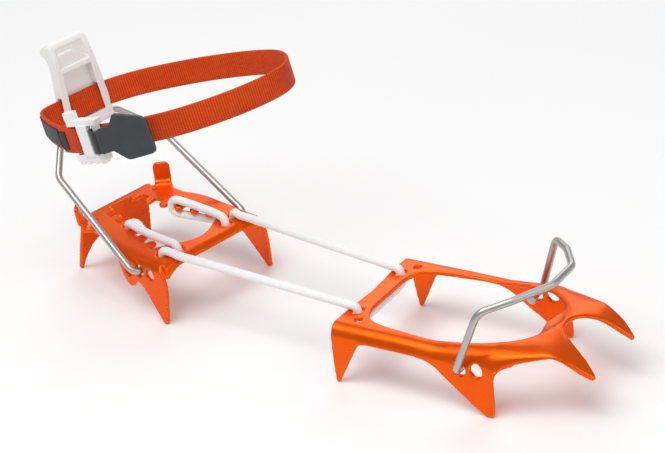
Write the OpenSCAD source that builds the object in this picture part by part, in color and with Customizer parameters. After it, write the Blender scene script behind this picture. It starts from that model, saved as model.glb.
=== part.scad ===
// Mountaineering crampon for ski-touring and snow travel: a front frame with six
// points and a heel frame with four points, folded from aluminium sheet, linked by a
// cord, with a wire toe bail, a wire heel bail, a heel lever and an ankle strap.
// Millimetres. +X points to the toe, +Y to the left, +Z up, ground at z = 0.

/* [Sheet] */
// Thickness of the aluminium sheet of both frames
sheet_t = 2.4; // [2:0.1:2.8]
// Height of the front frame's sole plate above the tips of its points
front_h = 32.8; // [31:0.1:35]
// Height of the heel frame's sole plate above the tips of its points
heel_h = 35.8; // [34:0.1:38]
// Outer radius of the rolled edge along the front frame
front_bend_r = 7.5; // [6:0.1:8]
// Outer radius of the rolled edge along the heel frame
heel_bend_r = 6.5; // [5.5:0.1:7]

/* [Wire] */
// Diameter of the steel wire of both bails
wire_d = 4; // [3.6:0.1:4.2]
// Diameter of the bail holes in the frames
bail_hole_d = 7.4; // [6.8:0.1:7.8]
// Radial play of the wire in the lever's bore
lever_play = 0.05; // [0.03:0.01:0.09]

/* [Cord and strap] */
// Diameter of the linking cord
cord_d = 4.8; // [4:0.1:5]
// Diameter of the cord's holes in the frames
cord_hole_d = 6.6; // [6:0.1:6.8]
// Width of the ankle strap's webbing
strap_w = 15; // [14:0.5:16]
// Thickness of the ankle strap's webbing
strap_t = 1.8; // [1.4:0.1:2]

/* [Lever] */
// Depth of the heel lever's body
lever_depth = 7; // [6.5:0.1:8]
// Height of the heel lever's window above its pivot
window_top = 34; // [30:0.5:35]

/* [Hidden] */
$fn = 48;

ORANGE = "orangered";
STEEL = "silver";

// where the middle of the whole crampon's outline lies in the front frame's axes
org_x = -139.71;
org_y = 13.85;
// place and turn of the heel frame, as it lies behind the front frame
heel_pos = [-214, 11, 0];
heel_yaw = -13;
// hinge line of the heel bail, in the heel frame's axes
bail_x = -19;
bail_z = 27.5;
// pivot of the lever on the heel bail's crossbar, in the heel frame's axes
piv_x = -98;
piv_z = 85;
lever_tilt = -8;
// plane of the strap's ring, in the heel frame's axes
ring_pos = [-95, 0, 98];
ring_rot = [0, -14, 0];
// buckle on the ring's near side
buckle_pos = [73.6, -51.4, 0];
buckle_turn = 7;

wr = wire_d / 2;
cr = cord_d / 2;

// ---------------------------------------------------------------- helpers
function unit(v) = v / norm(v);
function flip(P) = [for (p = P) [p[0], -p[1]]];
function rev(P) = [for (i = [len(P) - 1:-1:0]) P[i]];
// smooth curve through points
function crp(a, b, c, d, t) = 0.5 * (2 * b + (c - a) * t
    + (2 * a - 5 * b + 4 * c - d) * t * t + (3 * b - a - 3 * c + d) * t * t * t);
function smooth(P, n) = let (m = len(P)) concat([for (i = [0:m - 2], k = [0:n - 1])
    crp(P[max(i - 1, 0)], P[i], P[i + 1], P[min(i + 2, m - 1)], k / n)], [P[m - 1]]);
// mirrored closed outline from one half that starts and ends on the middle line
function both(H) = concat(H, rev([for (i = [1:len(H) - 2]) [H[i][0], -H[i][1]]]));

module world() { translate([-org_x, -org_y, 0]) children(); }
module heel_place() { world() translate(heel_pos) rotate([0, 0, heel_yaw]) children(); }
module lever_place() { heel_place() translate([piv_x, 0, piv_z]) rotate([0, lever_tilt, 0]) children(); }
module ring_place() { heel_place() translate(ring_pos) rotate(ring_rot) children(); }
module buckle_place() { ring_place() translate(buckle_pos) rotate([0, 0, buckle_turn]) children(); }

// prism of an outline drawn in (x, z), from y = a to y = b
module xz(a, b) { translate([0, b, 0]) rotate([90, 0, 0]) linear_extrude(height = b - a) children(); }
// prism of an outline drawn in (y, z), from x = a to x = b
module yz(a, b) { translate([a, 0, 0]) rotate([90, 0, 90]) linear_extrude(height = b - a) children(); }

// half of a folded section: a flat, a rolled edge and a wall that leans out
module fold2(flat, r, h, lean, len) {
    translate([0, h - sheet_t]) square([flat, sheet_t]);
    translate([flat, h - r]) {
        intersection() {
            difference() { circle(r); circle(r - sheet_t); }
            polygon([[0, 0], [0, 3 * r], [3 * r, 3 * r], [3 * r * cos(lean), 3 * r * sin(lean)]]);
        }
        rotate(lean) translate([r - sheet_t, -len]) square([sheet_t, len + 0.001]);
    }
}

// straight and bent stretches of wire through points, with a radius at each bend
function bend(P, i) = acos(unit(P[i] - P[i - 1]) * unit(P[i + 1] - P[i]));
function tl(P, i, rb) = (i == 0 || i == len(P) - 1) ? 0 : rb * tan(bend(P, i) / 2);
module stick(p, q, r) {
    d = q - p;
    translate(p) rotate([0, acos(d[2] / norm(d)), atan2(d[1], d[0])]) cylinder(h = norm(d), r = r);
}
// points round the bend at corner i
function arc(P, i, rb, n) = let (u = unit(P[i] - P[i - 1]), v = unit(P[i + 1] - P[i]), a = bend(P, i),
    c = P[i] + unit(v - u) * rb / cos(a / 2), e = unit(P[i] - u * tl(P, i, rb) - c))
    [for (k = [0:n]) c + rb * (e * cos(a * k / n) + u * sin(a * k / n))];
function route(P, rb, n) = concat([P[0]], [for (i = [1:len(P) - 2], p = arc(P, i, rb, n)) p], [P[len(P) - 1]]);
// round tube swept along a path
function tang(P) = [for (i = [0:len(P) - 1]) unit(P[min(i + 1, len(P) - 1)] - P[max(i - 1, 0)])];
function carry(T, i, x) = let (y = unit(x - T[i] * (T[i] * x)))
    i == len(T) - 1 ? [y] : concat([y], carry(T, i + 1, y));
module tube(P, r, s) {
    T = tang(P);
    X = carry(T, 0, abs(T[0][2]) > 0.8 ? [1, 0, 0] : [0, 0, 1]);
    n = len(P);
    pts = [for (i = [0:n - 1], k = [0:s - 1])
        P[i] + r * (X[i] * cos(360 * k / s) + cross(T[i], X[i]) * sin(360 * k / s))];
    polyhedron(pts, concat(
        [[for (k = [0:s - 1]) k]],
        [for (i = [0:n - 2], k = [0:s - 1])
            [i * s + k, (i + 1) * s + k, (i + 1) * s + (k + 1) % s, i * s + (k + 1) % s]],
        [[for (k = [s - 1:-1:0]) (n - 1) * s + k]]), convexity = 8);
}

// band of a given thickness along a flat path
function nrm(P) = [for (i = [0:len(P) - 1])
    let (t = unit(P[min(i + 1, len(P) - 1)] - P[max(i - 1, 0)])) [-t[1], t[0]]];
function band(P, a, b) = let (N = nrm(P)) concat([for (i = [0:len(P) - 1]) P[i] + N[i] * a],
    rev([for (i = [0:len(P) - 1]) P[i] + N[i] * b]));

// ---------------------------------------------------------------- front frame
// half of the sole opening, from the rear bridge to the toe bar
FO = [[-87, 0], [-87, 9], [-86.6, 17], [-83.6, 24], [-77, 28.6], [-62, 31], [-45, 31.2],
      [-30, 30.8], [-18, 30.2], [-6, 28], [2, 24.8], [8, 20], [12, 15.6], [13, 12.4], [12, 7], [10.8, 0]];
// half of the outer plan outline, from the rear edge round the front point to the notch
FP = [[-97, 0], [-97.6, 12], [-98.5, 20], [-99, 34], [-98, 41], [-96, 50], [-20, 50], [1.6, 50],
      [2.4, 43], [4, 39.8], [8, 37.6], [16, 34.4], [24, 31.4], [28, 30], [32, 28.9], [36, 27.8], [40, 26.5], [44, 24.7],
      [48, 22.6], [49.44, 21.5], [49.1, 20.5], [48, 19.7], [44, 17.8], [40, 15.9], [36, 13.9], [32, 11.7], [28, 9], [25, 5.4],
      [23.6, 2.4], [23.2, 0]];
// lower edge of the side walls with the rear and the middle points
FW = concat([[-110, 44], [-99, 44], [-98.4, 24], [-97.6, 10], [-96.8, 0.4], [-96.2, 0], [-95, 0.2]],
    smooth([[-94.2, 1.4], [-88, 13], [-82.6, 22.4], [-79, 25.2], [-70, 25.8], [-56, 25.8], [-42, 25.2],
            [-34, 22.2], [-27, 16.6], [-12, 5.2]], 3),
    [[-4.4, 0.3], [-2, 0], [-0.8, 0], [0, 0.6]],
    smooth([[0.6, 5], [0.4, 16], [0.8, 21.4], [2.2, 25], [5, 27.6]], 3),
    [[12, 29.6], [24, 31.8], [60, 31.8], [60, 44]]);

// the plate rises from this line to the level of the toe bar, and its rolled edge widens
rise_x = -36;
toe_h = front_h + 4.4;
flat_w = 34.3;
toe_r = front_bend_r + 3.5;
toe_y = flat_w - 3.5;
// shell of a round bar that tapers from r1 to r2
module roll(p, q, r1, r2) {
    d = q - p;
    translate(p) rotate([0, acos(d[2] / norm(d)), atan2(d[1], d[0])]) difference() {
        cylinder(h = norm(d), r1 = r1, r2 = r2);
        translate([0, 0, -0.01]) cylinder(h = norm(d) + 0.02, r1 = r1 - sheet_t, r2 = r2 - sheet_t);
    }
}
module front_side() {
    r = front_bend_r;
    yz(-100, rise_x + 0.4) fold2(flat_w, r, front_h, 4, 30);
    // rising plate, its widening rolled edge and the wall below it
    translate([rise_x, 0, front_h]) rotate([0, -atan(4.4 / -rise_x), 0]) translate([0, 0, -sheet_t])
        linear_extrude(height = sheet_t) polygon([[-1.2, 16], [-1.2, flat_w + 0.1], [35.4, toe_y + 0.1], [35.4, 16]]);
    intersection() {
        roll([rise_x - 3, flat_w + 0.14, front_h - r - 0.3], [0.4, toe_y - 0.15, toe_h - toe_r - 0.15], r - 0.29, toe_r);
        translate([0, 0, front_h - r - 0.6]) linear_extrude(height = 30)
            polygon([[rise_x - 4, flat_w - 0.9], [1, toe_y - 1.2], [1, 60], [rise_x - 4, 60]]);
    }
    yz(rise_x + 0.4, 6) translate([flat_w, front_h - r]) rotate(4) translate([r - sheet_t, -30]) square([sheet_t, 31]);
    // rolled edge beside the front point
    intersection() {
        roll([-2, toe_y - 0.45, toe_h - toe_r - 0.55], [27, toe_y - 6, toe_h - toe_r - 0.55], toe_r, toe_r);
        translate([0, 0, toe_h - toe_r - 1]) linear_extrude(height = 30)
            polygon([[-3, toe_y - 0.9], [28, toe_y - 7.4], [28, 60], [-3, 60]]);
    }
}
// front point: it rises a little from a crease across the toe bar and droops to its tip
CLAW = smooth([[-10, 36.4], [2, 37.2], [12, 37.8], [20, 38.1], [24, 38], [28, 37.5], [32, 36.4], [36, 34.6], [40, 32.1], [44, 29.1],
               [48, 25.7], [51, 23]], 3);
CP = concat([[20.4, 0], [16, 13], [9, 21.6], [2.4, 26.6], [2.4, toe_y - 2.4], [25, toe_y - 6.9], [25, 31.05]],
    [for (i = [13:len(FP) - 1]) FP[i]]);
module claw() intersection() {
    rotate([0, 0, 3]) translate([0, 16, 33]) rotate([-4, 0, 0]) translate([0, -16, -33])
        xz(-12, 46) polygon(band(CLAW, -sheet_t, 0));
    translate([0, 0, -1]) linear_extrude(height = 60) polygon(CP);
}
module front_frame() color(ORANGE) world() {
    difference() {
        union() {
            // folded channel with the side walls
            intersection() {
                union() {
                    front_side();
                    mirror([0, 1, 0]) front_side();
                }
                translate([0, 0, -1]) linear_extrude(height = 60) polygon(both(FP));
                xz(-60, 60) polygon(FW);
            }
            // toe bar
            translate([0, 0, toe_h - sheet_t]) linear_extrude(height = sheet_t)
                polygon(both([[-1.5, 0], [-1.5, toe_y], [26, toe_y - 5.3], [26, 16], [22, 6], [21.6, 0]]));
            // the two front points
            claw();
            mirror([0, 1, 0]) claw();
        }
        // sole opening
        translate([0, 0, 10]) linear_extrude(height = 40)
            polygon(both(concat([FO[0]], smooth([for (i = [1:len(FO) - 2]) FO[i]], 4), [FO[len(FO) - 1]])));
        for (s = [-1, 1]) {
            // cord holes and small plate holes
            translate([-92.6, 21.6 * s, 20]) cylinder(h = 20, d = cord_hole_d);
            translate([-87, 30 * s, 20]) cylinder(h = 20, d = 4.2);
            // bail holes in the side walls
            translate([-18.6, 30 * s, 24.4]) rotate([-90 * s, 0, 0]) cylinder(h = 20, d = bail_hole_d);
            translate([-8.6, 30 * s, 25.2]) rotate([-90 * s, 0, 0]) cylinder(h = 20, d = bail_hole_d);
        }
    }
}

// ---------------------------------------------------------------- toe bail
TB = [[-18.6, -33, 24.4], [-18.6, -46.2, 24.4], [-4, -41, 60.6], [9.6, -28.6, 63.6], [23, -10.4, 66],
      [23, 10.4, 66], [9.6, 28.6, 63.6], [-4, 41, 60.6], [-18.6, 46.2, 24.4], [-18.6, 33, 24.4]];
module toe_bail() color(STEEL) world() {
    tube(route(TB, 4, 5), wr * 0.98, 12);
    // round ends in the frame's holes, flattened inside so that they stay there
    for (s = [-1, 1]) translate([-18.6, 34.4 * s, 24.4]) rotate([90, 0, 0]) {
        cylinder(h = 2.4, r = wr + 1.1, center = true);
        translate([0, 0, s > 0 ? -7 : 0]) cylinder(h = 7, r = wr);
    }
}

// ---------------------------------------------------------------- linking cord
// under the front frame's rear bridge, from one cord hole to the other
CB = [[-94.6, -21.8, 34.9], [-93, -21.6, 33.2], [-92.3, -21.4, 30.6], [-91.4, -19.6, 28], [-90.6, -15, 27.3],
      [-90.4, -5, 27.2], [-90.4, 5, 27.2], [-90.6, 15, 27.3], [-91.4, 19.6, 28], [-92.3, 21.4, 30.6],
      [-93, 21.6, 33.2], [-94.6, 21.8, 34.9]];
module cord_front_bight() color("white") world() tube(smooth(CB, 3), cr, 10);
// the two strands between the frames
CN = [[-101.4, -21.8, 35.5], [-130, -20.1, 36.2], [-170, -17.7, 37.2], [-200, -15.9, 37.9], [-216, -15, 38.3]];
CF = [[-101.4, 22.4, 35.5], [-130, 26.3, 36.2], [-160, 30.4, 37], [-190, 34.5, 37.9], [-204.1, 36.4, 38.3]];
module cord_strand_near() color("white") world() tube(smooth(CN, 4), cr, 10);
module cord_strand_far() color("white") world() tube(smooth(CF, 4), cr, 10);
// round the heel frame: down a front hole, back under the rail, up through a notch,
// forward over the tongues, down the inner hole and across to the other side
CH = [[-2.6, -26, 38.4], [-7.6, -26.8, 38.5], [-10, -27, 36.8], [-10.6, -27, 34.2], [-11.4, -26.8, 31.6],
      [-15, -25.8, 30.4], [-28, -22.8, 30.2], [-42, -19.2, 30.1], [-49.4, -17.4, 30], [-52.8, -16.5, 31.3], [-53.7, -16.3, 34.2],
      [-52.8, -16.8, 37.4], [-49, -17.8, 38.9], [-38, -18.8, 38.9], [-26, -19.2, 38.9], [-15, -19, 39],
      [-9.2, -18.4, 38.4], [-7.2, -18, 35], [-6.8, -17.2, 31.8], [-6.6, -13.6, 30.4], [-6.6, -5, 30.2]];
module cord_heel_wrap() color("white") heel_place()
    tube(smooth(concat(CH, rev([for (p = CH) [p[0], -p[1], p[2]]])), 2), cr, 10);

// ---------------------------------------------------------------- heel frame
// half of the plate's plan outline, from the rear edge to the front lip
HP = [[-100, 0], [-100, 40], [-92, 40], [-90.6, 25], [-86, 26.2], [-83, 25.2], [-74, 34.2],
      [-69, 31], [-60, 31], [-50, 34], [-42, 36], [-38, 50], [30, 50], [30, 0]];
// half of the opening between the rails
HO = [[-82.4, 0], [-82.4, 13], [-21, 26.6], [-18.4, 21], [-12.4, 11.6], [-9.4, 6], [-8.2, 0]];
// tongues along the rail
t1 = [-26.3, 22.6];
pitch = 11.2;
row_a = 12.9;
TONGUE = concat([[2.6, 7]], [for (a = [0:15:180]) [2.6 * cos(a), -0.6 - 2.6 * sin(a)]], [[-2.6, 7]]);
// side wall with the ear and the front point
HW = concat([[-110, 50], [-110, 31], [-38.6, 31], [-37.4, 27]],
    smooth([[-36, 23.4], [-33, 18.6], [-29.6, 15.8], [-26.4, 15.8], [-23.4, 18.8], [-20, 19.6], [-17.4, 18.2], [-12, 12.4]], 3),
    [[-1.6, 0.4], [-0.8, 0], [0.6, 0], [1.4, 0.5]],
    smooth([[2.6, 9], [3.4, 18], [3.2, 24], [2, 29], [-0.6, 32.6], [-1.6, 34.4]], 3), [[-1.6, 50]]);
// rear wall with the two rear points
HR = [[0, 17.4], [8, 17.2], [13, 16.2], [17.6, 13.4], [21, 9], [23.4, 4.8], [25, 0.6], [25.8, 0], [26.8, 0], [27.4, 0.6], [25, 34], [24.6, 50], [0, 50]];
// front lip, deeper towards the sides
HL = [[0, 31.6], [16, 31.8], [26, 31.6], [30.6, 29.7], [34.2, 27.3], [35.5, 26.5], [35.5, 34.7], [34, 35.5], [32.4, 35.8],
      [32.4, 50], [0, 50]];

// plate with its side folds; the flat ends where the lip begins, the walls run on
module heel_plate() intersection() {
    union() for (s = [0, 1]) mirror([0, s, 0]) yz(-86.3, 8) fold2(32.3, heel_bend_r, heel_h, 4, 34);
    xz(-60, 60) polygon(HW);
    translate([0, 0, -1]) linear_extrude(height = 60) polygon(both(HP));
    translate([0, 0, -1]) linear_extrude(height = 60)
        polygon(both([[-90, 0], [-90, 60], [20, 60], [20, 33], [-2.5, 33], [-2.5, 0]]));
}
// rolled front lip
module heel_lip() intersection() {
    xz(-35.5, 35.5) translate([-3, 0]) fold2(0.6, 5, heel_h, 0, 6);
    yz(-10, 10) polygon([for (p = both([for (q = HL) [q[1], q[0]]])) [p[1], p[0]]]);
}
// rear wall, leaning back
module heel_rear() intersection() {
    mirror([1, 0, 0]) xz(-30, 30) translate([85.8, 0]) fold2(0.5, 3, heel_h, 13, 36);
    yz(-110, -80) polygon([for (p = both([for (q = HR) [q[1], q[0]]])) [p[1], p[0]]]);
}
// heel stop on a rear corner
module heel_stop() translate([-77.8, 30.4, 0]) rotate([0, 0, -45]) intersection() {
    xz(-5, 5) polygon([[-1.2, heel_h - 1.2], [2.4, heel_h - 1.2], [2.4, heel_h - 0.2], [1.2, heel_h + 1],
        [1.2, heel_h + 1.8], [-0.5, heel_h + 3.4], [-1.2, heel_h + 13.4], [-3.6, heel_h + 13.2],
        [-2.9, heel_h + 3], [-1.2, heel_h + 1.2]]);
    yz(-10, 10) polygon([[-5, 30], [5, 30], [5, heel_h + 11], [4.2, heel_h + 12.6], [2.6, heel_h + 13.3],
        [-2.6, heel_h + 13.3], [-4.2, heel_h + 12.6], [-5, heel_h + 11]]);
}
// opening with the tongues left standing, and all holes
module heel_cuts() {
    translate([0, 0, 20]) linear_extrude(height = 40) difference() {
        polygon(both(HO));
        for (s = [0, 1], k = [0:5]) mirror([0, s])
            translate([t1[0] - pitch * k * cos(row_a), t1[1] - pitch * k * sin(row_a)]) rotate(row_a) polygon(TONGUE);
    }
    for (s = [-1, 1]) {
        translate([-10.6, 27 * s, 29]) cylinder(h = 12, d = cord_hole_d);
        translate([-7, 18 * s, 29]) cylinder(h = 12, d = cord_hole_d);
        translate([-77.4, 22.6 * s, 20]) cylinder(h = 30, d = 2.2);
        for (p = [[-29, 25], [bail_x, bail_z], [-10, 27.8]])
            translate([p[0], 34 * s, p[1]]) rotate([-90 * s, 0, 0]) cylinder(h = 16, d = bail_hole_d - 0.4);
    }
}
module heel_frame() color(ORANGE) heel_place() difference() {
    union() {
        heel_plate();
        heel_lip();
        heel_rear();
        heel_stop();
        mirror([0, 1, 0]) heel_stop();
    }
    heel_cuts();
}

// ---------------------------------------------------------------- heel bail
HB = [[bail_x, -32, bail_z], [bail_x, -42.6, bail_z], [-83, -38, 69], [piv_x, -20.6, piv_z],
      [piv_x, 20.6, piv_z], [-83, 38, 69], [bail_x, 42.6, bail_z], [bail_x, 32, bail_z]];
module heel_bail() color(STEEL) heel_place() {
    tube(route(HB, 4, 5), wr * 0.98, 12);
    for (s = [-1, 1]) translate([bail_x, 33.4 * s, bail_z]) rotate([90, 0, 0]) {
        cylinder(h = 2.4, r = wr + 1, center = true);
        translate([0, 0, s > 0 ? -6 : 0]) cylinder(h = 6, r = wr);
    }
    // crossbar that the lever turns on
    translate([piv_x, 0, piv_z]) rotate([90, 0, 0]) cylinder(h = 35, r = wr, center = true);
}

// ---------------------------------------------------------------- heel lever
// side view: front face, top, finger hook, back
LS = concat([[3.5, -0.4], [3.5, 34]], smooth([[3.4, 36], [2.8, 43], [0.8, 50.4], [-0.6, 52.2], [-2.6, 52.8]], 3),
    smooth([[-4.4, 52.2], [-9.4, 48.6], [-10.4, 46.4], [-9, 45], [-6.4, 43.4], [-4.4, 40], [-3.6, 34]], 3), [[-3.5, -0.4]]);
// half of the front view
LF = [[0, -6], [15, -6], [16.6, -3], [16.6, 8], [15.6, 22], [14.2, 34], [13.4, 43], [13, 50], [11.4, 53.4], [0, 53.8]];
module heel_lever() color("whitesmoke") lever_place() {
    difference() {
        intersection() {
            union() {
                xz(-20, 20) scale([lever_depth / 7, 1]) polygon(LS);
                rotate([90, 0, 0]) cylinder(h = 40, r = 3.6, center = true);
            }
            yz(-20, 20) polygon([for (p = both([for (q = LF) [q[1], q[0]]])) [p[1], p[0]]]);
        }
        // bore for the wire's crossbar
        rotate([90, 0, 0]) cylinder(h = 50, r = wr + lever_play, center = true);
        // window, open to the front
        translate([-1.8, 0, 0]) yz(0, 10) polygon([[-12, 4], [12, 4], [10, window_top], [-10, window_top]]);
        // slots in the sides for the strap
        translate([-1.7, -20, 3.9]) cube([4.4, 40, 16.6]);
        // thumb recess above the window
        translate([2.1, 0, 0]) yz(0, 10) polygon([[-10.6, 37], [10.6, 37], [10, 49.4], [-10, 49.4]]);
        translate([0.9, 0, 0]) yz(0, 10) polygon([[-10.2, 45.4], [1, 45.4], [10.4, 37.6], [9.6, 49], [-9.6, 49]]);
    }
}

// ---------------------------------------------------------------- buckle
// front view of half the buckle's body along the strap
module buckle() color("white") buckle_place() {
    difference() {
        union() {
            // upper and lower bars with the lugs that hold the pin
            for (s = [0, 1]) mirror([0, 0, s]) {
                translate([-11.6, -3.6, 8.4]) cube([24, 5.2, 3.6]);
                translate([-9, 0, 8.4]) rotate([0, 0, 0]) cylinder(h = 3.6, r = 3.2);
            }
            // middle plate and right bar
            translate([-3.6, -4.4, -9]) cube([8.4, 3.4, 18]);
            translate([8.6, -3.4, -9]) cube([3.8, 3.2, 18]);
            // raised lug at the upper end
            translate([-12, -3.6, 11.6]) cube([7.4, 4.4, 5]);
            // thumb bumps along the lower edge
            for (k = [0:3]) translate([-8.6 + 5.8 * k, -1.2, -12]) rotate([90, 0, 0])
                cylinder(h = 4.4, r = 2.2, center = true);
        }
        // bore of the pin
        translate([-9, 0, 0]) cylinder(h = 25, r = 1.25, center = true);
    }
}
module buckle_pin() color(STEEL) buckle_place()
    translate([-9, 0, 0]) cylinder(h = 23.6, r = 1.25, center = true);

// ---------------------------------------------------------------- strap
// the webbing's middle line in the ring's plane: the sewn end round the pin, the short
// stretch to the lever, through the lever, round the ankle and back to the buckle
SP = [[50.2, -53.9], [52.6, -54.3], [57.6, -54.8], [62.6, -55], [65.2, -54.9], [66.8, -53.6], [66.8, -51.4], [65, -50.2],
      [62.2, -50.4], [57.6, -51.8], [52, -52], [46.4, -51.2], [40, -49.6], [32, -46.8], [20, -42], [8, -36.6], [0, -31.6],
      [-4, -25.6], [-4.8, -18], [-4.4, -9], [-4.4, 0], [-4.4, 9], [-3.4, 14.6], [0, 20.6], [6, 28], [15, 35.4], [27, 42.4],
      [42, 49.4], [57, 54.8], [75, 59.4], [93, 61.8], [108, 61.4], [121, 57], [131.6, 50], [139.6, 41.4], [144, 31.4], [144.6, 20],
      [142.4, 7], [138, -5], [130, -19], [120, -30.4], [108, -38.6], [96, -44.2], [86, -47.4], [80.2, -48.4]];
STRAP = smooth(SP, 4);
module strap() color(ORANGE) ring_place()
    linear_extrude(height = strap_w, center = true) polygon(band(STRAP, -strap_t / 2, strap_t / 2));
// tape sewn on the outside of the short stretch
TAPE = [for (i = [45:63]) STRAP[i]];
module strap_tape() color("dimgray") ring_place()
    linear_extrude(height = strap_w - 4, center = true)
        polygon(band(TAPE, strap_t / 2 + 0.05, strap_t / 2 + 0.7));

// ---------------------------------------------------------------- strap end
// side view of the neck, and the flat end in front view
module strap_end_tab() color("darkslategray") buckle_place() {
    translate([0, 0, -6.6]) linear_extrude(height = 13.2)
        polygon(band(smooth([[6.7, 0.6], [6.7, -2.4], [7.6, -5], [10.4, -6.9], [13.6, -7.3], [16.8, -6.4], [18.8, -5.8]], 4), -0.75, 0.75));
    translate([15.6, -5.7, 0]) rotate([0, 0, 16]) rotate([90, 0, 0]) linear_extrude(height = 2)
        polygon([[0, -7], [4, -6.4], [7.3, -6], [14.8, -11.9], [17, -12.2], [31, -10.8], [32.4, -10.2], [33.4, -8.6],
                 [33.4, 6.9], [32.4, 9.2], [30.6, 10.7], [14.6, 14.6], [13, 14], [10.2, 10], [8, 8.8], [2, 7.6], [0, 7]]);
}

front_frame();
toe_bail();
cord_front_bight();
cord_strand_near();
cord_strand_far();
cord_heel_wrap();
heel_frame();
heel_bail();
heel_lever();
buckle();
buckle_pin();
strap();
strap_tape();
strap_end_tab();
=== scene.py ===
import math

import bmesh
import bpy
import numpy as np
from mathutils import Matrix, Vector, kdtree


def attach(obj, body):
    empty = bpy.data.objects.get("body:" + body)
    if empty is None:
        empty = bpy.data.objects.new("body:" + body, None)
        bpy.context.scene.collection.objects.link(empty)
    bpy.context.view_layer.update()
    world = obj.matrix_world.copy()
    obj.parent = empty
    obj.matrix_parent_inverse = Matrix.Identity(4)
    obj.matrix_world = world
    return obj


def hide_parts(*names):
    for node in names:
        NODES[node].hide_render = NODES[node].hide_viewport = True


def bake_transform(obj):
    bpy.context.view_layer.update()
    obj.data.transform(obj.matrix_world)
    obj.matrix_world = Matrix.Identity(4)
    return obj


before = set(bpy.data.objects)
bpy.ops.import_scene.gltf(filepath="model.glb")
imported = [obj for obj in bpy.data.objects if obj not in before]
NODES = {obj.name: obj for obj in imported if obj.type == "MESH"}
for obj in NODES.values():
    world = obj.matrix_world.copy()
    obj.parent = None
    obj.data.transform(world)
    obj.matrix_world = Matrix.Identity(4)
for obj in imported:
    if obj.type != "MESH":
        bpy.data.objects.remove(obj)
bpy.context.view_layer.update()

MM = 0.001
scene = bpy.context.scene


# ------------------------------------------------------------------ places, in mm
def T(x, y, z):
    m = np.eye(4)
    m[:3, 3] = (x, y, z)
    return m


def RZ(d):
    m = np.eye(4)
    c, s = math.cos(math.radians(d)), math.sin(math.radians(d))
    m[:2, :2] = [[c, -s], [s, c]]
    return m


def RY(d):
    m = np.eye(4)
    c, s = math.cos(math.radians(d)), math.sin(math.radians(d))
    m[0, 0], m[0, 2], m[2, 0], m[2, 2] = c, s, -s, c
    return m


FRONT = T(139.71, -13.85, 0)
HEEL = FRONT @ T(-214, 11, 0) @ RZ(-13)
RING = HEEL @ T(-95, 0, 98) @ RY(-14)
BUCKLE = RING @ T(73.6, -51.4, 0) @ RZ(7)


def at(M, P):
    """Points in mm, in a place's own axes, as metres in the row frame."""
    P = np.asarray(P, float)
    return (P @ M[:3, :3].T + M[:3, 3]) * MM


# ------------------------------------------------------------------ camera
def aim():
    a, e, r = (math.radians(x) for x in (37.38, 27.73, -8.35))
    back = Vector((math.sin(a) * math.cos(e), -math.cos(a) * math.cos(e), math.sin(e)))
    right = (-back).cross(Vector((0, 0, 1))).normalized()
    up = right.cross(-back)
    x = math.cos(r) * right + math.sin(r) * up
    y = -math.sin(r) * right + math.cos(r) * up
    cam = bpy.data.cameras.new("camera")
    cam.sensor_fit, cam.sensor_width, cam.lens = "HORIZONTAL", 36.0, 132.95
    cam.clip_start, cam.clip_end = 0.05, 50
    ob = bpy.data.objects.new("camera", cam)
    scene.collection.objects.link(ob)
    m = Matrix.Identity(4)
    for i, v in enumerate((x, y, back)):
        for k in range(3):
            m[k][i] = v[k]
    m.translation = (0.73141, -0.94245, 0.6821)
    ob.matrix_world = m
    scene.camera = ob


aim()


# ------------------------------------------------------------------ curves
def smooth(P, n):
    """Curve through points, n steps from each to the next."""
    P = np.asarray(P, float)
    m, out = len(P), []
    for i in range(m - 1):
        a, b, c, d = P[max(i - 1, 0)], P[i], P[i + 1], P[min(i + 2, m - 1)]
        for k in range(n):
            t = k / n
            out.append(0.5 * (2 * b + (c - a) * t + (2 * a - 5 * b + 4 * c - d) * t**2 + (3 * b - a - 3 * c + d) * t**3))
    return np.array(out + [P[-1]])


def lengths(P):
    return np.concatenate([[0], np.cumsum(np.linalg.norm(np.diff(P, axis=0), axis=1))])


def even(P, step):
    """The same curve with points an even step apart."""
    s = lengths(P)
    n = max(2, int(round(s[-1] / step)) + 1)
    q = np.linspace(0, s[-1], n)
    return np.stack([np.interp(q, s, P[:, k]) for k in range(P.shape[1])], 1)


def tangents(P):
    d = np.gradient(P, axis=0)
    return d / np.linalg.norm(d, axis=1)[:, None]


def carried(P, first):
    """A direction across the curve at each point, carried along without twist."""
    t = tangents(P)
    out, x = [], np.asarray(first, float)
    for k in t:
        x = x - k * (x @ k)
        x = x / np.linalg.norm(x)
        out.append(x)
    return t, np.array(out)


def bent(P, r, n):
    """Straight stretches through points with a bend at each corner, of the radii r."""
    P = [np.asarray(p, float) for p in P]
    out = [P[0]]
    radii = r
    for i in range(1, len(P) - 1):
        r = radii[i - 1]
        u = P[i] - P[i - 1]
        v = P[i + 1] - P[i]
        u, v = u / np.linalg.norm(u), v / np.linalg.norm(v)
        a = math.acos(max(-1, min(1, float(u @ v))))
        w = (v - u) / np.linalg.norm(v - u)
        c = P[i] + w * r / math.cos(a / 2)
        e = P[i] - u * r * math.tan(a / 2) - c
        e = e / np.linalg.norm(e)
        for k in range(n + 1):
            out.append(c + r * (e * math.cos(a * k / n) + u * math.sin(a * k / n)))
    return np.array(out + [P[-1]])


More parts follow.
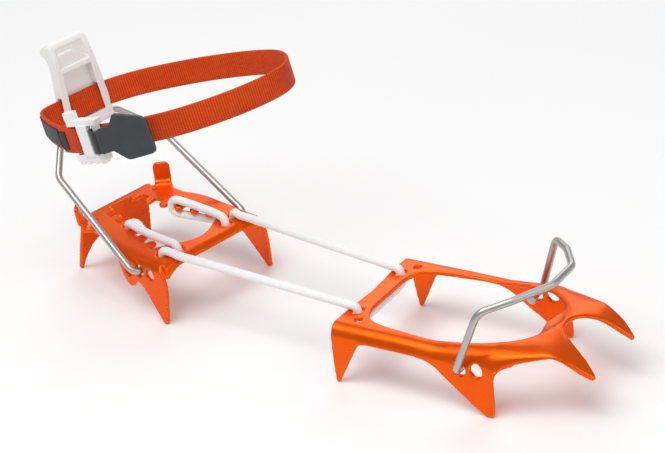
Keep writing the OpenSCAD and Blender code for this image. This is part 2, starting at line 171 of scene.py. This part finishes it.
# ------------------------------------------------------------------ meshes
def piece(name, verts, faces, body, mats, stands_for=(), sharp=None, attrs=None, ride=True, mat_index=None):
    me = bpy.data.meshes.new(name)
    me.from_pydata([tuple(v) for v in np.asarray(verts, float)], [], [tuple(int(i) for i in f) for f in faces])
    me.validate()
    for m in mats if isinstance(mats, (list, tuple)) else [mats]:
        me.materials.append(m)
    if mat_index is not None:
        me.polygons.foreach_set("material_index", np.asarray(mat_index, np.int32))
    for key, val in (attrs or {}).items():
        val = np.asarray(val, np.float32)
        kind = "FLOAT" if val.ndim == 1 else "FLOAT_VECTOR"
        a = me.attributes.new(key, kind, "POINT")
        a.data.foreach_set("value" if val.ndim == 1 else "vector", val.ravel())
    bm = bmesh.new()
    bm.from_mesh(me)
    bmesh.ops.recalc_face_normals(bm, faces=bm.faces)
    for f in bm.faces:
        f.smooth = True
    if sharp is not None:
        for e in bm.edges:
            if len(e.link_faces) == 2 and e.calc_face_angle(0) > math.radians(sharp):
                e.smooth = False
    bm.to_mesh(me)
    bm.free()
    ob = bpy.data.objects.new(name, me)
    scene.collection.objects.link(ob)
    if ride:
        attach(ob, body)
    if stands_for:
        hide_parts(*stands_for)
    return ob


def grid_faces(rows, cols, closed=True, first=0):
    f = []
    for i in range(rows - 1):
        for k in range(cols if closed else cols - 1):
            j = (k + 1) % cols
            f.append((first + i * cols + k, first + i * cols + j, first + (i + 1) * cols + j, first + (i + 1) * cols + k))
    return f


def relax(co, E, rounds, lam=0.5, mu=-0.53, weight=None):
    n = len(co)
    deg = np.maximum(np.bincount(E.ravel(), minlength=n), 1)[:, None]
    for _ in range(rounds):
        for k in (lam, mu):
            if k == 0:
                continue
            s = np.stack([np.bincount(E[:, 0], co[E[:, 1], a], n) + np.bincount(E[:, 1], co[E[:, 0], a], n) for a in range(3)], 1)
            d = k * (s / deg - co)
            co = co + (d if weight is None else d * weight[:, None])
    return co


def arrays(me):
    co = np.empty(len(me.vertices) * 3)
    me.vertices.foreach_get("co", co)
    E = np.empty(len(me.edges) * 2, np.int32)
    me.edges.foreach_get("vertices", E)
    return co.reshape(-1, 3), E.reshape(-1, 2)


def bulge(me, co, E, voxel, rounds):
    """How strongly the surface turns outward at each vertex."""
    me.vertices.foreach_set("co", co.ravel())
    me.update()
    nor = np.empty(len(co) * 3)
    me.vertex_normals.foreach_get("vector", nor)
    nor = nor.reshape(-1, 3)
    n = len(co)
    deg = np.maximum(np.bincount(E.ravel(), minlength=n), 1)
    mean = np.stack([np.bincount(E[:, 0], co[E[:, 1], a], n) + np.bincount(E[:, 1], co[E[:, 0], a], n) for a in range(3)], 1) / deg[:, None]
    out = -np.einsum("ij,ij->i", nor, mean - co) / voxel
    for _ in range(rounds):
        out = 0.4 * out + 0.6 * (np.bincount(E[:, 0], out[E[:, 1]], n) + np.bincount(E[:, 1], out[E[:, 0]], n)) / deg
    return out


def inner(edge, E, low, rings):
    """1 on the faces, 0 along the cut edges and a few rings beside them."""
    m = np.clip((edge - low) / low, 0, 1)
    for _ in range(rings):
        k = m.copy()
        np.maximum.at(k, E[:, 0], m[E[:, 1]])
        np.maximum.at(k, E[:, 1], m[E[:, 0]])
        m = k
    return 1 - m


def folded(me, co, E):
    """1 round faces that stand off their neighbours, 0 elsewhere."""
    me.vertices.foreach_set("co", co.ravel())
    me.update()
    nor = np.empty(len(co) * 3)
    me.vertex_normals.foreach_get("vector", nor)
    nor = nor.reshape(-1, 3)
    m = np.zeros(len(co))
    for f in me.polygons:
        v = list(f.vertices)
        if (nor[v] @ np.array(f.normal)).min() < 0.55:
            m[v] = 1
    return 1 - inner(m, E, 0.5, 3)


def skin(node, name, body, mats, voxel, rounds, keep, shape=None, pick=None, calm=0, where=None):
    """A CAD node with its cut edges broken and its faces evened out, as a finer mesh."""
    me = NODES[node].data.copy()
    me.materials.clear()
    bm = bmesh.new()
    bm.from_mesh(me)
    bmesh.ops.remove_doubles(bm, verts=bm.verts, dist=2e-6)
    bm.to_mesh(me)
    bm.free()
    tmp = bpy.data.objects.new("tmp", me)
    scene.collection.objects.link(tmp)
    m = tmp.modifiers.new("even", "REMESH")
    m.mode, m.voxel_size, m.use_smooth_shade = "VOXEL", voxel, True
    dg = bpy.context.evaluated_depsgraph_get()
    fine = bpy.data.meshes.new_from_object(tmp.evaluated_get(dg))
    co, E = arrays(fine)
    co = relax(co, E, rounds)
    if shape is not None:
        co = shape(co, E)
    if calm:
        turn = bulge(fine, co, E, voxel, 6)
        co = relax(co, E, calm, 0.5, 0, weight=inner(turn, E, 0.025, 3))
        if where is not None:
            co = relax(co, E, 80, 0.5, 0, weight=inner(turn, E, 0.06, 3) * where(co))
        co = relax(co, E, 14, 0.5, 0, weight=folded(fine, co, E))
    n = len(co)
    edge = bulge(fine, co, E, voxel, 3)
    tmp.modifiers.clear()
    tmp.data = fine
    if keep < 1:
        m = tmp.modifiers.new("fewer", "DECIMATE")
        m.ratio = keep
        dg = bpy.context.evaluated_depsgraph_get()
        last = bpy.data.meshes.new_from_object(tmp.evaluated_get(dg))
    else:
        last = fine
    tree = kdtree.KDTree(n)
    for i in range(n):
        tree.insert(co[i], i)
    tree.balance()
    end, _ = arrays(last)
    near = np.array([tree.find(p)[1] for p in end])
    a = last.attributes.new("edge", "FLOAT", "POINT")
    a.data.foreach_set("value", np.clip(edge[near] * 9, -1, 1).astype(np.float32))
    bpy.data.objects.remove(tmp)
    last.name = name
    for mt in mats if isinstance(mats, (list, tuple)) else [mats]:
        last.materials.append(mt)
    bm = bmesh.new()
    bm.from_mesh(last)
    for f in bm.faces:
        f.smooth = True
        if pick is not None:
            f.material_index = pick(f.calc_center_median())
    bm.to_mesh(last)
    bm.free()
    ob = bpy.data.objects.new(name, last)
    scene.collection.objects.link(ob)
    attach(ob, body)
    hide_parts(node)
    return ob


# ------------------------------------------------------------------ materials
class Tree:
    def __init__(self, name):
        self.mat = bpy.data.materials.new(name)
        self.mat.use_nodes = True
        self.nt = self.mat.node_tree
        self.nt.nodes.clear()
        self.out = self.nt.nodes.new("ShaderNodeOutputMaterial")
        self.bsdf = self.nt.nodes.new("ShaderNodeBsdfPrincipled")
        self.nt.links.new(self.bsdf.outputs[0], self.out.inputs[0])

    def node(self, kind, **sets):
        n = self.nt.nodes.new(kind)
        for k, v in sets.items():
            setattr(n, k, v)
        return n

    def put(self, socket, value):
        if isinstance(value, bpy.types.NodeSocket):
            self.nt.links.new(value, socket)
        else:
            socket.default_value = value

    def set(self, **kw):
        for k, v in kw.items():
            self.put(self.bsdf.inputs[k.replace("_", " ")], v)

    def coords(self):
        return self.node("ShaderNodeTexCoord").outputs["Object"]

    def attr(self, name, vector=False):
        n = self.node("ShaderNodeAttribute", attribute_name=name)
        return n.outputs["Vector" if vector else "Fac"]

    def noise(self, vec, scale, detail=3.0, rough=0.5, stretch=None):
        if stretch is not None:
            m = self.node("ShaderNodeVectorMath", operation="MULTIPLY")
            self.put(m.inputs[0], vec)
            m.inputs[1].default_value = stretch
            vec = m.outputs[0]
        n = self.node("ShaderNodeTexNoise")
        self.put(n.inputs["Vector"], vec)
        n.inputs["Scale"].default_value = scale
        n.inputs["Detail"].default_value = detail
        n.inputs["Roughness"].default_value = rough
        return n.outputs["Fac"]

    def ramp(self, fac, stops):
        n = self.node("ShaderNodeValToRGB")
        self.put(n.inputs[0], fac)
        el = n.color_ramp.elements
        while len(el) < len(stops):
            el.new(0.5)
        for e, (p, c) in zip(el, stops):
            e.position = p
            e.color = (*c, 1) if len(c) == 3 else c
        return n.outputs[0]

    def span(self, fac, a, b, lo, hi):
        n = self.node("ShaderNodeMapRange")
        self.put(n.inputs["Value"], fac)
        for k, v in zip(("From Min", "From Max", "To Min", "To Max"), (a, b, lo, hi)):
            n.inputs[k].default_value = v
        return n.outputs[0]

    def math(self, op, a, b=0.0, clamp=False):
        n = self.node("ShaderNodeMath", operation=op, use_clamp=clamp)
        self.put(n.inputs[0], a)
        self.put(n.inputs[1], b)
        return n.outputs[0]

    def mix(self, fac, a, b):
        n = self.node("ShaderNodeMix", data_type="RGBA")
        self.put(n.inputs["Factor"], fac)
        self.put(n.inputs[6], a if isinstance(a, bpy.types.NodeSocket) else (*a, 1))
        self.put(n.inputs[7], b if isinstance(b, bpy.types.NodeSocket) else (*b, 1))
        return n.outputs[2]

    def bump(self, height, strength, dist):
        n = self.node("ShaderNodeBump")
        n.inputs["Strength"].default_value = strength
        n.inputs["Distance"].default_value = dist
        self.put(n.inputs["Height"], height)
        self.put(self.bsdf.inputs["Normal"], n.outputs[0])
        return n


def orange_sheet():
    """Orange anodised aluminium sheet: satin, a little darker in patches, paler and yellower along convex edges,
    partly real edge wear and partly a painted highlight on the rolled edges.
    """
    t = Tree("orange_anodised")
    c = t.coords()
    patch = t.noise(c, 38, 4)
    grain = t.noise(c, 1100, 2)
    rolled = t.noise(c, 60, 1, stretch=(1, 6, 6))
    edge = t.attr("edge")
    base = t.ramp(patch, [(0.3, (0.90, 0.100, 0.0025)), (0.7, (0.95, 0.122, 0.004))])
    # convex edges are mixed towards a paler, yellower orange: partly edge wear, partly painted highlight along the
    # rolled edges
    edge_wear_and_highlight = t.math("MULTIPLY", t.span(edge, 0.35, 0.95, 0, 1), t.span(t.noise(c, 210, 4, 0.65), 0.38, 0.66, 0.15, 1))
    t.set(Base_Color=t.mix(t.math("MULTIPLY", edge_wear_and_highlight, 0.55), base, (0.97, 0.20, 0.03)),
          Roughness=t.math("ADD", t.span(rolled, 0.3, 0.7, 0.27, 0.37), t.math("MULTIPLY", edge_wear_and_highlight, -0.06)),
          Metallic=0.7, Specular_IOR_Level=0.15)
    t.bump(grain, 0.02, 0.0001)
    return t.mat


def steel_wire():
    """Drawn stainless wire: fine lines along it, a few dull rubs."""
    t = Tree("drawn_steel")
    run = t.attr("run", True)
    lines = t.noise(run, 5, 4, 0.6, stretch=(3.2, 3.2, 14))
    rub = t.noise(t.coords(), 90, 4, 0.6)
    t.set(Base_Color=t.ramp(lines, [(0.25, (0.38, 0.375, 0.365)), (0.75, (0.64, 0.635, 0.625))]),
          Roughness=t.math("ADD", t.span(lines, 0.3, 0.7, 0.34, 0.46), t.span(rub, 0.5, 0.75, 0, 0.12)),
          Metallic=1.0)
    t.bump(lines, 0.16, 0.0001)
    return t.mat


def white_cord():
    """White braided cord, grey in the hollows between the strands: painted shade."""
    t = Tree("braided_cord")
    run = t.attr("run", True)
    fibre = t.noise(run, 6, 3, 0.6, stretch=(4, 4, 900))
    soil = t.noise(t.coords(), 160, 3)
    low = t.attr("edge")
    # where the braid is low, between the strands, the white is mixed to grey: painted shade in the hollows
    base = t.mix(t.span(low, 0.0, 1.0, 1, 0), (0.95, 0.95, 0.945), (0.74, 0.745, 0.745))
    t.set(Base_Color=t.mix(t.span(soil, 0.5, 0.8, 0, 0.25), base, (0.86, 0.855, 0.84)),
          Roughness=t.span(fibre, 0.3, 0.7, 0.62, 0.82), Sheen_Weight=0.25, Sheen_Roughness=0.5)
    t.bump(fibre, 0.25, 0.0001)
    return t.mat


def pale_plastic():
    """Frosted, slightly translucent grey-white moulded plastic, paler along convex edges: a painted highlight."""
    t = Tree("frosted_plastic")
    c = t.coords()
    cloud = t.noise(c, 55, 3)
    grain = t.noise(c, 3200, 2)
    edge = t.attr("edge")
    base = t.ramp(cloud, [(0.3, (0.82, 0.825, 0.81)), (0.7, (0.87, 0.875, 0.86))])
    # convex edges are mixed towards a paler grey: painted highlight
    t.set(Base_Color=t.mix(t.span(edge, 0.2, 0.9, 0, 0.5), base, (0.88, 0.88, 0.875)),
          Roughness=t.span(grain, 0.3, 0.7, 0.36, 0.48), Specular_IOR_Level=0.45,
          Subsurface_Weight=0.12, Subsurface_Scale=0.003, Coat_Weight=0.1, Coat_Roughness=0.3)
    t.bsdf.inputs["Subsurface Radius"].default_value = (1.0, 0.95, 0.9)
    t.bump(grain, 0.07, 0.0001)
    return t.mat


def white_plastic():
    """Bright white glossy moulded plastic."""
    t = Tree("white_plastic")
    c = t.coords()
    cloud = t.noise(c, 90, 3)
    grain = t.noise(c, 2400, 2)
    t.set(Base_Color=t.ramp(cloud, [(0.3, (0.86, 0.865, 0.87)), (0.7, (0.91, 0.915, 0.915))]),
          Roughness=t.span(grain, 0.3, 0.7, 0.20, 0.30), Specular_IOR_Level=0.5, Coat_Weight=0.25, Coat_Roughness=0.1)
    t.bump(grain, 0.04, 0.0001)
    return t.mat


def webbing(name, dark, light, sheen):
    """Woven strap: ribs across it, yarns along each rib, darker in the grooves between the ribs: painted shade."""
    t = Tree(name)
    run = t.attr("run", True)
    yarn = t.noise(run, 1, 2, 0.6, stretch=(260, 2600, 2600))
    tone = t.noise(run, 1, 3, 0.5, stretch=(60, 60, 260))
    rib = t.attr("edge")
    # rib crests get the light colour and the grooves between them the dark one: painted shade in the grooves
    groove_shaded = t.mix(t.span(rib, 0.0, 0.75, 1, 0), light, dark)
    t.set(Base_Color=t.mix(t.span(t.math("ADD", t.math("MULTIPLY", yarn, 0.6), t.math("MULTIPLY", tone, 0.4)), 0.35, 0.65, 0, 0.45), groove_shaded, dark),
          Roughness=t.span(yarn, 0.3, 0.7, 0.52, 0.74), Sheen_Weight=sheen, Sheen_Roughness=0.4, Specular_IOR_Level=0.22)
    t.bump(yarn, 0.35, 0.00012)
    return t.mat


def dark_rubber(name, a, b, rough):
    """Moulded rubbery plastic with a fine grain, much lighter along convex edges: a painted highlight."""
    t = Tree(name)
    c = t.coords()
    cloud = t.noise(c, 120, 3)
    grain = t.noise(c, 2100, 3, 0.6)
    edge = t.attr("edge")
    base = t.ramp(cloud, [(0.3, a), (0.7, b)])
    # convex edges are mixed towards a lighter grey: painted highlight on the bevels
    t.set(Base_Color=t.mix(t.span(edge, 0.3, 0.95, 0, 0.4), base, (0.16, 0.165, 0.175)),
          Roughness=t.span(grain, 0.3, 0.7, rough - 0.06, rough + 0.08), Specular_IOR_Level=0.5)
    t.bump(grain, 0.10, 0.00012)
    return t.mat


ORANGE = orange_sheet()
STEEL = steel_wire()
CORD = white_cord()
PALE = pale_plastic()
WHITE = white_plastic()
# for each webbing the first colour is the painted shade in its grooves (and its darker yarns), the second its lit
# ribs
WEB = webbing("orange_webbing", (0.36, 0.020, 0.0015), (0.76, 0.078, 0.003), 0.03)
TAPE = webbing("black_tape", (0.006, 0.0065, 0.007), (0.030, 0.031, 0.034), 0.1)
TAB = dark_rubber("tab_grey", (0.0315, 0.03375, 0.039), (0.039, 0.04125, 0.04725), 0.42)
NECK = dark_rubber("tab_black", (0.010, 0.010, 0.012), (0.016, 0.016, 0.018), 0.34)


# ------------------------------------------------------------------ linking cord, one loop in two pieces
CB = [[-94.6, -21.8, 34.9], [-93, -21.6, 33.2], [-92.3, -21.4, 30.6], [-91.4, -19.6, 28], [-90.6, -15, 27.3],
      [-90.4, -5, 27.2], [-90.4, 5, 27.2], [-90.6, 15, 27.3], [-91.4, 19.6, 28], [-92.3, 21.4, 30.6],
      [-93, 21.6, 33.2], [-94.6, 21.8, 34.9]]
CN = [[-101.4, -21.8, 35.5], [-130, -20.1, 36.2], [-170, -17.7, 37.2], [-200, -15.9, 37.9], [-216, -15, 38.3]]
CF = [[-101.4, 22.4, 35.5], [-130, 26.3, 36.2], [-160, 30.4, 37], [-190, 34.5, 37.9], [-204.1, 36.4, 38.3]]
CH = [[-2.6, -26, 38.4], [-7.6, -26.8, 38.5], [-10, -27, 36.8], [-10.6, -27, 34.2], [-11.4, -26.8, 31.6],
      [-15, -25.8, 30.4], [-28, -22.8, 30.2], [-42, -19.2, 30.1], [-49.4, -17.4, 30], [-52.8, -16.5, 31.3], [-53.7, -16.3, 34.2],
      [-52.8, -16.8, 37.4], [-49, -17.8, 38.9], [-38, -18.8, 38.9], [-26, -19.2, 38.9], [-15, -19, 39],
      [-9.2, -18.4, 38.4], [-7.2, -18, 35], [-6.8, -17.2, 31.8], [-6.6, -13.6, 30.4], [-6.6, -5, 30.2]]
CORD_R = 2.4 * MM


def cord_loop():
    heel = np.concatenate([CH, [[p[0], -p[1], p[2]] for p in CH[::-1]]])  # near side to far side
    heel = at(HEEL, heel)
    near, far, front = at(FRONT, CN), at(FRONT, CF), at(FRONT, CB)
    # from the middle of the near strand to the front, under the bridge, along the far strand, round the heel and back
    P = np.concatenate([near[2:3], near[1::-1], front, far, heel[::-1], near[:1:-1]])
    P = smooth(P, 10)
    s = lengths(P)
    total = s[-1]
    P = even(P, 0.45 * MM)
    n = len(P)
    t, x = carried(P, (0, 0, 1))
    # the frame has turned a little when it comes back: that is taken out evenly
    y0 = np.cross(t[0], x[0])
    a = math.atan2(float(x[-1] @ y0), float(x[-1] @ x[0]))
    ang = -a * np.arange(n) / (n - 1)
    y = np.cross(t, x)
    x, y = x * np.cos(ang)[:, None] + y * np.sin(ang)[:, None], -x * np.sin(ang)[:, None] + y * np.cos(ang)[:, None]
    sides, strands = 32, 8
    turns = round(total / (13.5 * MM))
    th = 2 * math.pi * np.arange(sides) / sides
    u = np.arange(n)[:, None] / (n - 1) * turns * strands
    v = (th / (2 * math.pi))[None, :] * strands
    p, q = v + u, v - u
    over = (np.floor(p) + np.floor(q)) % 2 == 0
    hp = np.sqrt(np.clip(1 - (2 * (p % 1) - 1) ** 2, 0, 1))
    hq = np.sqrt(np.clip(1 - (2 * (q % 1) - 1) ** 2, 0, 1))
    h = np.where(over, 0.55 * hp + 0.45 * hp * hq, 0.55 * hq + 0.45 * hp * hq)
    r = CORD_R * (0.955 + 0.06 * h)
    co = P[:, None, :] + r[:, :, None] * (x[:, None, :] * np.cos(th)[None, :, None] + y[:, None, :] * np.sin(th)[None, :, None])
    run = np.stack([np.broadcast_to(np.cos(th)[None], r.shape), np.broadcast_to(np.sin(th)[None], r.shape),
                    np.broadcast_to(np.arange(n)[:, None] * 0.45 * MM, r.shape)], 2)
    # the far seam lies in the middle of the far strand
    cut = int(np.argmin(np.linalg.norm(P - at(FRONT, [CF[2]])[0], axis=1)))
    out = []
    for name, i, j in (("cord_front", 0, cut), ("cord_heel", cut, n - 1)):
        m = j - i + 1
        verts = co[i:j + 1].reshape(-1, 3)
        faces = grid_faces(m, sides)
        faces += [tuple(range(sides))[::-1], tuple((m - 1) * sides + k for k in range(sides))]
        out.append(piece(name, verts, faces, None, CORD, sharp=50, ride=False,
                         attrs={"run": run[i:j + 1].reshape(-1, 3), "edge": h[i:j + 1].ravel()}))
    fr, he = out
    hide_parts("cord_front_bight", "cord_strand_near")
    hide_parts("cord_heel_wrap", "cord_strand_far")
    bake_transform(fr)
    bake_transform(he)
    return total


cord_loop()


# ------------------------------------------------------------------ wires
def wire(name, body, node, M, P, radii, ends, sides=20):
    R = 2.0 * MM
    path = even(at(M, bent(P, radii, 14)), 0.7 * MM)
    t, x = carried(path, (0, 0, 1) if abs(tangents(path)[0][2]) < 0.8 else (1, 0, 0))
    y = np.cross(t, x)
    th = 2 * math.pi * np.arange(sides) / sides
    ring = x[:, None] * np.cos(th)[None, :, None] + y[:, None] * np.sin(th)[None, :, None]
    n = len(path)
    # the ends are upset into low heads inside the frame
    s = lengths(path)
    d = np.minimum(s, s[-1] - s) / MM
    r = R * np.ones(n)
    for k in range(n):
        q = d[k]
        if q < ends[1]:
            r[k] = R + (ends[0] * MM - R) * min(1, max(0, (ends[1] - q) / 0.5)) * math.sqrt(max(0.15, min(1, (q + 0.25) / 0.7)))
    co = path[:, None] + ring * r[:, None, None]
    verts = list(co.reshape(-1, 3))
    faces = grid_faces(n, sides)
    faces += [tuple(range(sides))[::-1], tuple((n - 1) * sides + k for k in range(sides))]
    run = np.stack([np.broadcast_to(np.cos(th)[None], (n, sides)), np.broadcast_to(np.sin(th)[None], (n, sides)),
                    np.broadcast_to(s[:, None], (n, sides))], 2).reshape(-1, 3)
    return piece(name, verts, faces, body, STEEL, (node,), sharp=45, attrs={"run": run})


TB = [[-18.6, -33.2, 24.4], [-18.6, -46.2, 24.4], [-4, -41, 60.6], [9.6, -28.6, 63.6], [23, -10.4, 66]]
TB += [[p[0], -p[1], p[2]] for p in TB[::-1]]
HB = [[-19, -32.2, 27.5], [-19, -42.6, 27.5], [-83, -38, 69], [-98, -20.6, 85]]
HB += [[p[0], -p[1], p[2]] for p in HB[::-1]]
wire("toe_wire", "toe", "toe_bail", FRONT, TB, (4.6, 9, 14, 9, 9, 14, 9, 4.6), (3.1, 2.4))
wire("heel_wire", "bail", "heel_bail", HEEL, HB, (4.6, 9, 4.6, 4.6, 9, 4.6), (3.0, 2.4))


# ------------------------------------------------------------------ frames
CLAW = [[-10, 36.4], [2, 37.2], [12, 37.8], [20, 38.1], [24, 38], [28, 37.5], [32, 36.4], [36, 34.6], [40, 32.1], [44, 29.1],
        [48, 25.7], [51, 23]]


def pressed(co):
    """Where the sheet is pressed between the plate and the front points."""
    q = co / MM - FRONT[:3, 3]
    low = np.interp(q[:, 0], [10, 16], [28, 18])
    return np.clip((q[:, 0] + 58) / 14, 0, 1) * np.clip((42 - q[:, 0]) / 8, 0, 1) * np.clip((q[:, 2] - low) / 3, 0, 1)


def eased(co, E):
    """The rolled side runs on into each front point and fades out towards its tip."""
    q = co / MM - FRONT[:3, 3]
    x, y = q[:, 0], np.abs(q[:, 1])
    ridge = 30.35 - 0.191 * (x + 2)
    flat = np.interp(x + 0.052 * y, [c[0] for c in CLAW], [c[1] for c in CLAW]) - 0.07 * (y - 16)
    roll = 25.65 + np.sqrt(np.clip(121 - (y - ridge) ** 2, 0, None))
    fade = np.clip((44 - x) / 17, 0, 1) * np.clip((x - 24.4) / 1.2, 0, 1)
    drop = np.where((y > ridge) & (q[:, 2] > 20), fade * np.maximum(0, flat - roll), 0)
    z = q[:, 2] - drop
    side = (y > ridge + 1.5) & (z > 20) & (x > 9) & (x < 42)
    bins = np.arange(10, 41.01, 0.5)
    low = np.array([z[side & (np.abs(x - b) < 0.5)].min() for b in bins])
    chord = np.interp(bins, [22.5, 29.5], [low[25], low[39]])
    lift = np.where((bins > 22.5) & (bins < 29.5), np.maximum(0, chord - low), 0)
    under = np.clip(1.2 - (z - np.interp(x, bins, low)) / 2.4, 0, 1)
    z = z + np.where(side, np.interp(x, bins, lift) * under, 0)
    co = co.copy()
    co[:, 2] = (z + FRONT[2, 3]) * MM
    return relax(co, E, 120, 0.5, -0.515, weight=pressed(co))


front = skin("front_frame", "front_sheet", "front", ORANGE, 0.0005, 28, 1, shape=eased, calm=16, where=pressed)
heel = skin("heel_frame", "heel_sheet", "heel", ORANGE, 0.0005, 28, 1, calm=16)

# ------------------------------------------------------------------ lever, buckle, tab
lever = skin("heel_lever", "lever_body", "lever", PALE, 0.00036, 5, 1)
buckle = skin("buckle", "buckle_body", "lever", WHITE, 0.0003, 6, 1)


def tab_part(c):
    inv = np.linalg.inv(BUCKLE)
    p = inv[:3, :3] @ (np.array(c) / MM) + inv[:3, 3]
    return 1 if p[0] < 15.4 else 0


tab = skin("strap_end_tab", "strap_tab", "lever", [TAB, NECK], 0.0003, 6, 1, pick=tab_part)
NODES["buckle_pin"].data.materials.clear()


# ------------------------------------------------------------------ webbing
def ribbon(name, M, P, width, lo, hi, pitch, rib, mat, stands_for, body="lever", per=6, wide=9, scallop=0.12):
    """Woven band along a flat path: lo and hi are its two faces measured from the path, ribs run across it."""
    path = smooth(P, 24)
    path = even(path, pitch / per)
    n = len(path)
    t = tangents(path)
    nor = np.stack([-t[:, 1], t[:, 0]], 1)
    s = lengths(path)
    wave = np.abs(np.cos(math.pi * s / pitch)) ** 0.8
    half, thick = width / 2, (hi - lo) / 2
    mid = (hi + lo) / 2
    # cross-section: (w, face) with rounded selvedges
    top = [(w, 1.0) for w in np.linspace(-half + 0.8, half - 0.8, wide)]
    edge = [(half - 0.8 + 0.8 * math.sin(a), math.cos(a)) for a in np.linspace(0, math.pi, 8)[1:-1]]
    sect = top + edge + [(-w, -f) for w, f in top] + [(-w, -f) for w, f in edge]
    m = len(sect)
    co = np.empty((n, m, 3))
    run = np.empty((n, m, 3))
    ed = np.empty((n, m))
    for k, (w, f) in enumerate(sect):
        side = max(0.0, (abs(w) - (half - 0.8)) / 0.8)
        d = mid + f * (thick - rib + rib * wave)
        ww = w + math.copysign(1, w) * side * scallop * (wave - 1)
        co[:, k, 0] = path[:, 0] + nor[:, 0] * d
        co[:, k, 1] = path[:, 1] + nor[:, 1] * d
        co[:, k, 2] = ww
        run[:, k] = np.stack([s * MM, np.full(n, w * MM), np.full(n, f * thick * MM)], 1)
        ed[:, k] = wave
    faces = grid_faces(n, m)
    faces += [tuple(range(m))[::-1], tuple((n - 1) * m + k for k in range(m))]
    return piece(name, at(M, co.reshape(-1, 3)), faces, body, mat, stands_for, sharp=60,
                 attrs={"run": run.reshape(-1, 3), "edge": ed.ravel()})


SP = [[50.2, -53.9], [52.6, -54.3], [57.6, -54.8], [62.6, -55], [65.2, -54.9], [66.8, -53.6], [66.8, -51.4], [65, -50.2],
      [62.2, -50.4], [57.6, -51.8], [52, -52], [46.4, -51.2], [40, -49.6], [32, -46.8], [20, -42], [8, -36.6], [0, -31.6],
      [-4, -25.6], [-4.8, -18], [-4.4, -9], [-4.4, 0], [-4.4, 9], [-3.4, 14.6], [0, 20.6], [6, 28], [15, 35.4], [27, 42.4],
      [42, 49.4], [57, 54.8], [75, 59.4], [93, 61.8], [108, 61.4], [121, 57], [131.6, 50], [139.6, 41.4], [144, 31.4], [144.6, 20],
      [142.4, 7], [138, -5], [130, -19], [120, -30.4], [108, -38.6], [96, -44.2], [86, -47.4], [80.2, -48.4]]
ribbon("strap_web", RING, SP, 15, -0.9, 0.9, 1.45, 0.16, WEB, ("strap",))
TP = smooth(SP, 4)[45:64]
ribbon("tape_inner", RING, TP, 11, 0.93, 1.55, 0.9, 0.05, TAPE, ("strap_tape",), per=5, wide=7, scallop=0.05)
TQ = [[50.5, -53.95], [52.6, -54.3], [55, -54.56], [57.6, -54.8]]
ribbon("tape_outer", RING, TQ, 11, -1.45, -0.85, 0.9, 0.05, TAPE, (), per=5, wide=7, scallop=0.05)

# ------------------------------------------------------------------ buckle pin
NODES["buckle_pin"].data.materials.append(STEEL)


# ------------------------------------------------------------------ floor and light
def floor():
    t = Tree("floor_white")
    c = t.coords()
    t.set(Base_Color=t.ramp(t.noise(c, 3, 2), [(0.3, (0.90, 0.90, 0.90)), (0.7, (0.92, 0.92, 0.92))]), Roughness=0.7)
    me = bpy.data.meshes.new("floor")
    me.from_pydata([(-4, -4, -0.0003), (4, -4, -0.0003), (4, 4, -0.0003), (-4, 4, -0.0003)], [], [(0, 1, 2, 3)])
    me.materials.append(t.mat)
    ob = bpy.data.objects.new("floor", me)
    scene.collection.objects.link(ob)


floor()


def lamp(name, place, target, size, power):
    d = bpy.data.lights.new(name, "AREA")
    d.shape, d.size, d.size_y, d.energy = "RECTANGLE", size[0], size[1], power
    ob = bpy.data.objects.new(name, d)
    scene.collection.objects.link(ob)
    ob.location = place
    ob.rotation_mode = "QUATERNION"
    ob.rotation_quaternion = (Vector(target) - Vector(place)).to_track_quat("-Z", "Y")


lamp("key", (-0.2, -0.5, 1.5), (0, 0, 0.03), (1.4, 1.0), 18.5)
lamp("side", (1.3, -0.1, 0.8), (0, 0, 0.05), (0.9, 0.9), 4.6)
lamp("rear", (-0.5, 1.3, 0.9), (0, 0, 0.05), (1.2, 0.7), 5.2)
world = bpy.data.worlds.new("studio")
world.use_nodes = True
world.node_tree.nodes["Background"].inputs[0].default_value = (1, 1, 1, 1)
world.node_tree.nodes["Background"].inputs[1].default_value = 0.34
scene.world = world
scene.view_settings.view_transform = "Standard"
scene.view_settings.look = "None"
